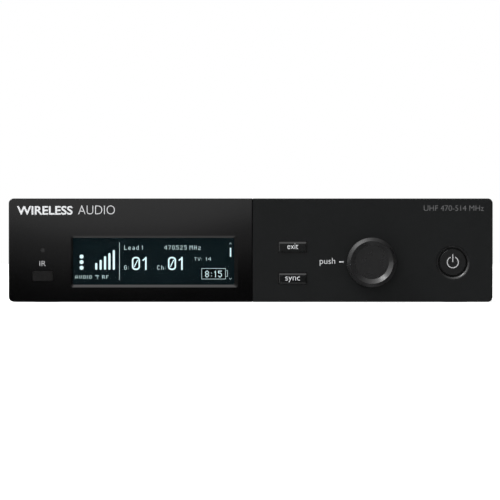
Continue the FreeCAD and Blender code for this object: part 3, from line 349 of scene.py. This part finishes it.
def add_glyph(bm, rows, x, y, cell_w, cell_h, stroke, thickness):
    """One character: a square at each lit dot, joined to its lit neighbours as one shape."""
    lit = {(i, 6 - r) for r, bits in enumerate(rows) for i, bit in enumerate(bits) if bit == "1"}
    wide, tall = stroke * cell_w, stroke * cell_h
    # the fine grid has a field for each dot (both numbers even) and each link between two dots (one odd)
    fields = {(2 * i, 2 * j) for i, j in lit}
    fields |= {(2 * i + 1, 2 * j) for i, j in lit if (i + 1, j) in lit}
    fields |= {(2 * i, 2 * j + 1) for i, j in lit if (i, j + 1) in lit}
    corners = {}

    def corner(column, row, level):
        if (column, row, level) not in corners:
            cx = x + (column // 2 + 0.5) * cell_w + (wide / 2 if column % 2 else -wide / 2)
            cy = y + (row // 2 + 0.5) * cell_h + (tall / 2 if row % 2 else -tall / 2)
            corners[column, row, level] = bm.verts.new((cx, cy, level * thickness))
        return corners[column, row, level]

    for a, b in sorted(fields):
        ring = ((a, b), (a + 1, b), (a + 1, b + 1), (a, b + 1))
        bm.faces.new([corner(*place, 1) for place in ring])
        bm.faces.new([corner(*place, 0) for place in reversed(ring)])
        beside = ((a, b - 1), (a + 1, b), (a, b + 1), (a - 1, b))
        for i, field in enumerate(beside):
            if field not in fields:
                here, there = ring[i], ring[(i + 1) % 4]
                bm.faces.new((corner(*here, 0), corner(*there, 0), corner(*there, 1), corner(*here, 1)))
    for i, j in sorted(lit):
        for side in (-1, 1):                    # a slanting link where two dots only meet corner to corner
            if (i + side, j + 1) in lit and (i + side, j) not in lit and (i, j + 1) not in lit:
                cx, cy = x + (i + 0.5) * cell_w, y + (j + 0.5) * cell_h
                near = (cx + side * wide / 2, cy + tall / 2)
                far = (cx + side * (cell_w - wide / 2), cy + cell_h - tall / 2)
                add_stroke(bm, near, far, min(wide, tall), thickness)


def dot_text(bm, text, x, y, thickness, dot_w=0.2717, dot_h=0.265, stroke=0.52):
    """Display words starting at x on the baseline y, with two blank columns between characters;
    stroke is a line's share of a dot."""
    for character in text:
        if character == ".":                    # a full stop stands in the gap
            dot_x, half = x - dot_w, stroke * dot_w / 2
            add_bar(bm, dot_x - half, y + 0.3 * dot_h, dot_x + half, y + 0.7 * dot_h, thickness)
        elif character == " ":
            x += 2 * dot_w
        else:
            glyph = DOTS[character].split()
            add_glyph(bm, glyph, x, y, dot_w, dot_h, stroke, thickness)
            x += (len(glyph[0]) + 2) * dot_w


def add_frame(bm, x0, y0, x1, y1, wall, thickness):
    """A hollow rectangle."""
    outer = [(x0, y0), (x1, y0), (x1, y1), (x0, y1)]
    inner = [(x0 + wall, y0 + wall), (x1 - wall, y0 + wall), (x1 - wall, y1 - wall), (x0 + wall, y1 - wall)]
    add_ring(bm, outer, inner, thickness)


def add_zero(bm, x, y, width, height, stroke, thickness, steps=8):
    """A tall rounded nought with a thin slash."""
    r = width * 0.42
    outer, inner = [], []
    for cx, cy, start in ((x + width - r, y + height - r, 0), (x + r, y + height - r, 90),
                          (x + r, y + r, 180), (x + width - r, y + r, 270)):
        for i in range(steps + 1):
            a = math.radians(start + 90 * i / steps)
            outer.append((cx + r * math.cos(a), cy + r * math.sin(a)))
            inner.append((cx + (r - stroke) * math.cos(a), cy + (r - stroke) * math.sin(a)))
    add_ring(bm, outer, inner, thickness)
    add_stroke(bm, (x + width * 0.28, y + height * 0.22), (x + width * 0.72, y + height * 0.78),
               stroke * 0.6, thickness)


def add_one(bm, x, y, height, stroke, thickness):
    """A tall one: an upright and a short flag to its left; x is the right edge."""
    add_bar(bm, x - stroke, y, x, y + height, thickness)
    add_stroke(bm, (x - stroke - 1.0, y + height - 1.5), (x - stroke * 0.6, y + height - 0.45),
               stroke * 0.8, thickness)


def make_readout(finishes):
    """Everything the display shows. Places are in millimetres from the screen's lower left corner."""
    lap, depth = 0.85 * MM, 0.19 * MM       # from the window's edge, and behind the module's front
    origin = Vector((window_lo.x + lap, module_lo.y + depth, window_lo.z + lap))
    t = 0.06                                # thickness of the lit plates

    def show(bm, name, finish):
        """Bring a drawing in millimetres to the screen, as a piece of its own."""
        bmesh.ops.scale(bm, vec=(MM, MM, MM), verts=bm.verts)
        piece_from(bm, name, finish, "chassis", FRONT, origin)

    bm = bmesh.new()
    dot = 1.63
    for y in (6.87, 9.2, 11.43):                                   # the three menu dots
        add_capsule(bm, 3.48, y - dot / 2, y + dot / 2, dot, t)
    for i, top in enumerate((8.85, 10.1, 11.6, 12.85, 14.1)):      # signal bars
        add_capsule(bm, 9.45 + 1.789 * i, 6.05, top, 0.86, t)
    for x in (24.0, 38.7):                                         # group and channel numbers
        add_zero(bm, x, 5.98, 3.26, 5.32, 0.59, t)
        add_one(bm, x + 5.98, 5.98, 5.32, 0.62, t)
    add_bar(bm, 63.9, 11.38, 64.46, 15.03, t)                      # scroll bar
    dot_text(bm, "8:15", 53.77, 2.943, t, 0.4076, 0.396, 0.66)
    show(bm, "readout_figures", finishes["display_light"])

    bm = bmesh.new()
    dot_text(bm, "AUDIO", 0.855, 2.393, t, dot_h=0.2038)
    add_bar(bm, 9.91, 2.3, 10.01, 3.15, t)                         # antenna sign
    add_stroke(bm, (9.96, 3.15), (9.45, 3.6), 0.08, t)
    add_stroke(bm, (9.96, 3.15), (10.47, 3.6), 0.08, t)
    add_bar(bm, 8.95, 3.65, 10.56, 3.79, t)
    dot_text(bm, "RF", 11.86, 2.393, t, dot_h=0.2038)
    add_bar(bm, 18.86, 1.95, 18.985, 17.2, t)                      # divider
    dot_text(bm, "Lead 1", 20.826, 14.178, t)
    dot_text(bm, "470.525 MHz", 37.128, 14.178, t)
    dot_text(bm, "G:", 20.826, 6.027, t)
    dot_text(bm, "Ch:", 34.275, 6.027, t)
    dot_text(bm, "TV:", 49.4, 9.73, t, 0.2038, 0.2038)
    dot_text(bm, "14", 53.97, 9.73, t, dot_h=0.2038)
    add_frame(bm, 52.38, 2.23, 62.19, 6.63, 0.12, t)               # battery outline and its cap
    add_bar(bm, 62.32, 3.26, 62.995, 3.36, t)
    add_bar(bm, 62.32, 5.705, 62.995, 5.805, t)
    add_bar(bm, 62.885, 3.36, 62.995, 5.705, t)
    middle, half, stroke = 64.163, 0.47, 0.09                      # arrows of the scroll bar
    for tip, foot in ((17.1, 16.4), (2.1, 2.62)):
        add_stroke(bm, (middle - half, foot), (middle + 0.04, tip), stroke, t)
        add_stroke(bm, (middle + half, foot), (middle - 0.04, tip), stroke, t)
    show(bm, "readout_words", finishes["display_light"])

    bm = bmesh.new()
    add_bar(bm, 52.55, 2.38, 62.02, 6.46, 0.02)
    dark = Finish("display_unlit", (0.0012, 0.0016, 0.0016), 0.4, IOR=1.1).mottle(0.8 * MM, 0.1)
    show(bm, "readout_battery_ground", dark.material)


# ---- lettering -------------------------------------------------------------------
def grey_print(name, level):
    """Ink of a given grey."""
    ink = Finish(name, (level, level, level * 1.02), 0.55).mottle(0.6 * MM, 0.08)
    return ink.grain(0.12 * MM, 0.004 * MM).material


def make_front_legends(finishes):
    """The words on the front: two kinds of title, the band, and the names of the controls."""
    white = finishes["legend_print"]
    title_x, title_z, title_cap = gloss_lo.x + 3.4 * MM, BEZEL_TOP - 6.5 * MM, 3.5 * MM
    legend("title_legend", "WIRELESS", Vector((title_x, FACE_Y, title_z)), title_cap, white,
           weight=0.022, width=22.6 * MM)
    legend("title_legend_light", "AUDIO", Vector((title_x + 24.9 * MM, FACE_Y, title_z)), title_cap,
           grey_print("legend_pale", 0.50), weight=-0.016, width=14.9 * MM)
    legend("band_legend", "UHF 470-514 MHz", Vector((matt_hi.x - 3.65 * MM, FACE_Y, BEZEL_TOP - 5.05 * MM)),
           2.2 * MM, grey_print("legend_grey", 0.078), align="right", weight=-0.004, width=24.4 * MM)
    ir_x = (ir_lo.x + ir_hi.x) / 2
    legend("ir_legend", "IR", Vector((ir_x, FACE_Y, ir_hi.z + 0.88 * MM)), 2.1 * MM,
           grey_print("legend_soft", 0.40), align="centre", weight=-0.014, width=2.5 * MM)
    legend("push_legend", "push", Vector((knob_lo.x - 11.05 * MM, FACE_Y, knob_centre.z - 0.65 * MM)),
           2.4 * MM, white, width=6.2 * MM, weight=-0.012)
    bm = bmesh.new()
    add_bar(bm, 0, -0.25 * MM, 1.85 * MM, 0.25 * MM, PRINT_T)      # the short dash towards the knob
    piece_from(bm, "push_dash", white, "chassis", FRONT,
               Vector((knob_lo.x - 3.2 * MM, FACE_Y, knob_centre.z + 0.2 * MM)))
    buttons = (("exit", "exit_button", "exit", 4.4), ("sync", "sync_button", "sync", 6.0))
    for word, node, body, width in buttons:
        lo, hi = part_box(node)
        place = Vector(((lo.x + hi.x) / 2, lo.y, (lo.z + hi.z) / 2 - 0.85 * MM))
        legend(word + "_legend", word, place, 2.35 * MM, white, body, align="centre", weight=-0.008,
               width=width * MM)


def make_power_symbol(finish):
    """The usual open ring with a bar in its gap, on the power button's face."""
    radius, stroke, gap, steps = 2.25 * MM, 0.38 * MM, math.radians(24), 48
    bm = bmesh.new()
    turns = [math.pi / 2 + gap + (2 * math.pi - 2 * gap) * i / steps for i in range(steps + 1)]
    outer = [((radius + stroke / 2) * math.cos(a), (radius + stroke / 2) * math.sin(a)) for a in turns]
    inner = [((radius - stroke / 2) * math.cos(a), (radius - stroke / 2) * math.sin(a)) for a in turns]
    add_plate(bm, outer + inner[::-1], PRINT_T)
    add_bar(bm, -stroke / 2, 0.1 * MM, stroke / 2, radius + 1.05 * MM, PRINT_T)
    piece_from(bm, "power_symbol", finish, "power", FRONT,
               Vector((power_centre.x, power_lo.y, power_centre.z)))


def make_power_ring():
    """A thin satin cone lining the dished ring round the power button."""
    outer, inner, shallow, deep, thick = 6.5 * MM, 5.92 * MM, 0.26 * MM, 0.685 * MM, 0.08 * MM
    profile = ((inner, deep), (outer, shallow), (outer + 0.02 * MM, shallow + thick), (inner, deep + thick))
    steps = 96
    bm = bmesh.new()
    rings = []
    for i in range(steps):
        a = 2 * math.pi * i / steps
        rings.append([bm.verts.new((r * math.cos(a), r * math.sin(a), -d)) for r, d in profile])
    for i in range(steps):
        here, there = rings[i], rings[(i + 1) % steps]
        for j in range(len(profile)):
            k = (j + 1) % len(profile)
            bm.faces.new((here[j], there[j], there[k], here[k]))
    finish = moulded("power_ring_satin", (0.006, 0.006, 0.0062), 0.28, 0.25 * MM, 0.002 * MM,
                     Specular_IOR_Level=0.65)
    ring = piece_from(bm, "power_ring_trim", finish, "chassis", FRONT,
                      Vector((power_centre.x, FACE_Y, power_centre.z)))
    ring.data.shade_smooth()
    ring.data.set_sharp_from_angle(angle=math.radians(35))


def make_rear_legends(finish):
    """Small names above the rear sockets."""
    def over(node, lift):
        lo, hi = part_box(node)
        return Vector(((lo.x + hi.x) / 2, panel_hi.y, hi.z + lift * MM))

    height = 1.7 * MM
    antenna_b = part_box("antenna_jack_b")
    antenna_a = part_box("antenna_jack_a")
    row_z = antenna_b[1].z + 2.6 * MM
    b_x, a_x = (antenna_b[0].x + antenna_b[1].x) / 2, (antenna_a[0].x + antenna_a[1].x) / 2
    rows = [("antenna_b_legend", "antenna B", Vector((b_x, panel_hi.y, row_z))),
            ("antenna_a_legend", "antenna A", Vector((a_x, panel_hi.y, row_z))),
            ("power_legend", "power in", over("power_inlet_body", 1.6)),
            ("network_legend", "network", over("network_jack_housing", 1.6)),
            ("phone_legend", "line out", over("phone_jack_body", 1.2)),
            ("level_legend", "line   mic", over("level_switch_body", 1.2))]
    for name, text, place in rows:
        legend(name, text, place, height, finish, facing=REAR, align="centre", weight=0.004)


# ---- studio ------------------------------------------------------------------------
def make_camera():
    """A long lens straight in front, as wide as the bezel and a small margin."""
    lens, sensor, fill = 400.0, 36.0, 0.9681
    across = BEZEL_W / fill
    data = bpy.data.cameras.new("camera")
    data.lens = lens
    data.sensor_width = sensor
    data.clip_start, data.clip_end = 0.05, 50.0
    camera = bpy.data.objects.new("camera", data)
    nudge_x, nudge_z = -0.29 * MM, 0.06 * MM      # the bezel isn't quite in the middle of the view
    middle_x = (gloss_lo.x + matt_hi.x) / 2 + nudge_x
    middle_z = (gloss_lo.z + gloss_hi.z) / 2 + nudge_z
    camera.location = (middle_x, FACE_Y - lens * across / sensor, middle_z)
    camera.rotation_euler = (math.pi / 2, 0, 0)
    bpy.context.scene.collection.objects.link(camera)
    bpy.context.scene.camera = camera


def soft_box(name, place, aim, size, energy):
    """A white area light that the camera doesn't see."""
    data = bpy.data.lights.new(name, "AREA")
    data.shape = "RECTANGLE"
    data.size, data.size_y = size
    data.energy = energy
    light = bpy.data.objects.new(name, data)
    light.location = place
    light.rotation_mode = "QUATERNION"
    light.rotation_quaternion = (Vector(aim) - Vector(place)).to_track_quat("-Z", "Y")
    light.visible_camera = False
    bpy.context.scene.collection.objects.link(light)


def make_floor():
    """A pale floor just under the feet, left out of the polished faces' reflections."""
    bpy.ops.mesh.primitive_plane_add(size=12.0, location=(0, 0, -0.02 * MM))
    floor = bpy.context.object
    floor.name = "floor"
    pale = Finish("floor_pale", (0.86, 0.86, 0.86), 0.8).mottle(200 * MM, 0.01)
    pale.shader.inputs["Emission Color"].default_value = (1, 1, 1, 1)
    pale.shader.inputs["Emission Strength"].default_value = 0.75
    floor.data.materials.append(pale.material)
    floor.visible_glossy = False


def make_world():
    """White to the camera. Polished faces see a curved pale backdrop that fades to a dark floor;
    overhead is brightest, underneath is a pale table and both sides are dim."""
    world = bpy.data.worlds.new("studio")
    bpy.context.scene.world = world
    world.use_nodes = True
    tree = world.node_tree
    tree.nodes.clear()

    def math_node(operation, *values):
        node = tree.nodes.new("ShaderNodeMath")
        node.operation = operation
        for i, value in enumerate(values):
            if isinstance(value, (int, float)):
                node.inputs[i].default_value = value
            else:
                tree.links.new(value, node.inputs[i])
        return node.outputs[0]

    def fade(value, start, end, low, high):
        node = tree.nodes.new("ShaderNodeMapRange")
        node.interpolation_type = "SMOOTHSTEP"
        for socket, number in zip(("From Min", "From Max", "To Min", "To Max"), (start, end, low, high)):
            node.inputs[socket].default_value = number
        tree.links.new(value, node.inputs["Value"])
        return node.outputs["Result"]

    coords = tree.nodes.new("ShaderNodeTexCoord")
    split = tree.nodes.new("ShaderNodeSeparateXYZ")
    tree.links.new(coords.outputs["Generated"], split.inputs[0])
    x, y, z = split.outputs["X"], split.outputs["Y"], split.outputs["Z"]
    # the backdrop's lower edge is a shallow bowl, lowest a little left of the middle
    bowl_x, bowl_curve, bowl_floor, bowl_rim = -0.024, 2.5, 0.0025, 0.008
    off = math_node("MULTIPLY", math_node("ADD", x, -bowl_x), bowl_curve)
    bowl = math_node("MINIMUM", math_node("ADD", math_node("MULTIPLY", off, off), bowl_floor), bowl_rim)
    above = math_node("SUBTRACT", z, bowl)
    backdrop = tree.nodes.new("ShaderNodeValToRGB")
    stops = ((0.0, 0.03), (0.20, 0.10), (0.40, 0.25), (0.60, 0.35), (0.70, 0.54), (0.82, 0.72), (1.0, 0.80))
    ramp = backdrop.color_ramp
    while len(ramp.elements) < len(stops):
        ramp.elements.new(0.5)
    for element, (place, level) in zip(ramp.elements, stops):
        element.position = place
        element.color = (level, level, level, 1)
    edge_sharpness, edge_place = 62.0, 0.70
    tree.links.new(math_node("MULTIPLY_ADD", above, edge_sharpness, edge_place), backdrop.inputs["Fac"])
    high = fade(z, 0.02, 0.15, 1.0, 0.5)
    table = fade(z, -0.995, -0.93, 0.78, 0.14)
    table = math_node("MULTIPLY", table, fade(z, -0.30, -0.05, 1.0, 0.0))
    overhead = fade(z, 0.35, 0.95, 0.0, 0.78)
    level = math_node("ADD", math_node("MULTIPLY", backdrop.outputs["Color"], high), table)
    level = math_node("ADD", level, overhead)
    right = fade(x, 0.15, 0.70, 0.0, 0.80)
    left = fade(x, -0.85, -0.30, 0.35, 0.0)
    level = math_node("MULTIPLY", level, math_node("SUBTRACT", math_node("SUBTRACT", 1.0, right), left))
    level = math_node("ADD", level, fade(math_node("ABSOLUTE", x), 0.30, 0.85, 0.0, 0.15))
    # behind the object is dimmer, and a broad pale screen stands beside it, up and to the left
    level = math_node("MULTIPLY", level, fade(y, -0.05, 0.22, 1.0, 0.40))
    screen_x, screen_y, screen_z = -0.72, -0.12, 0.68
    towards = math_node("MULTIPLY_ADD", y, screen_y, math_node("MULTIPLY", z, screen_z))
    towards = math_node("MULTIPLY_ADD", x, screen_x, towards)
    screen = math_node("MULTIPLY", fade(towards, 0.55, 1.0, 0.0, 2.6), fade(y, -0.52, -0.34, 0.0, 1.0))
    level = math_node("ADD", level, screen)

    paths = tree.nodes.new("ShaderNodeLightPath")
    background = tree.nodes.new("ShaderNodeBackground")
    background.inputs["Color"].default_value = (1, 1, 1, 1)
    tree.links.new(math_node("MAXIMUM", level, paths.outputs["Is Camera Ray"]), background.inputs["Strength"])
    output = tree.nodes.new("ShaderNodeOutputWorld")
    tree.links.new(background.outputs[0], output.inputs["Surface"])


def make_studio():
    """The camera, the floor, the surroundings and two soft lights."""
    bpy.context.scene.view_settings.view_transform = "Standard"
    make_camera()
    make_floor()
    make_world()
    aim = (0.03, FACE_Y, 0.02)
    soft_box("key", (-0.68, -0.33, 1.06), aim, (0.35, 0.35), 8.0)
    soft_box("back", (-0.9, 1.5, 1.0), (0, 0.08, 0.02), (0.9, 0.9), 13.0)


finishes = make_finishes()
dress_nodes(finishes)
make_readout(finishes)
make_front_legends(finishes)
make_power_symbol(grey_print("legend_mid", 0.36))
make_power_ring()
make_rear_legends(finishes["legend_print"])
make_studio()
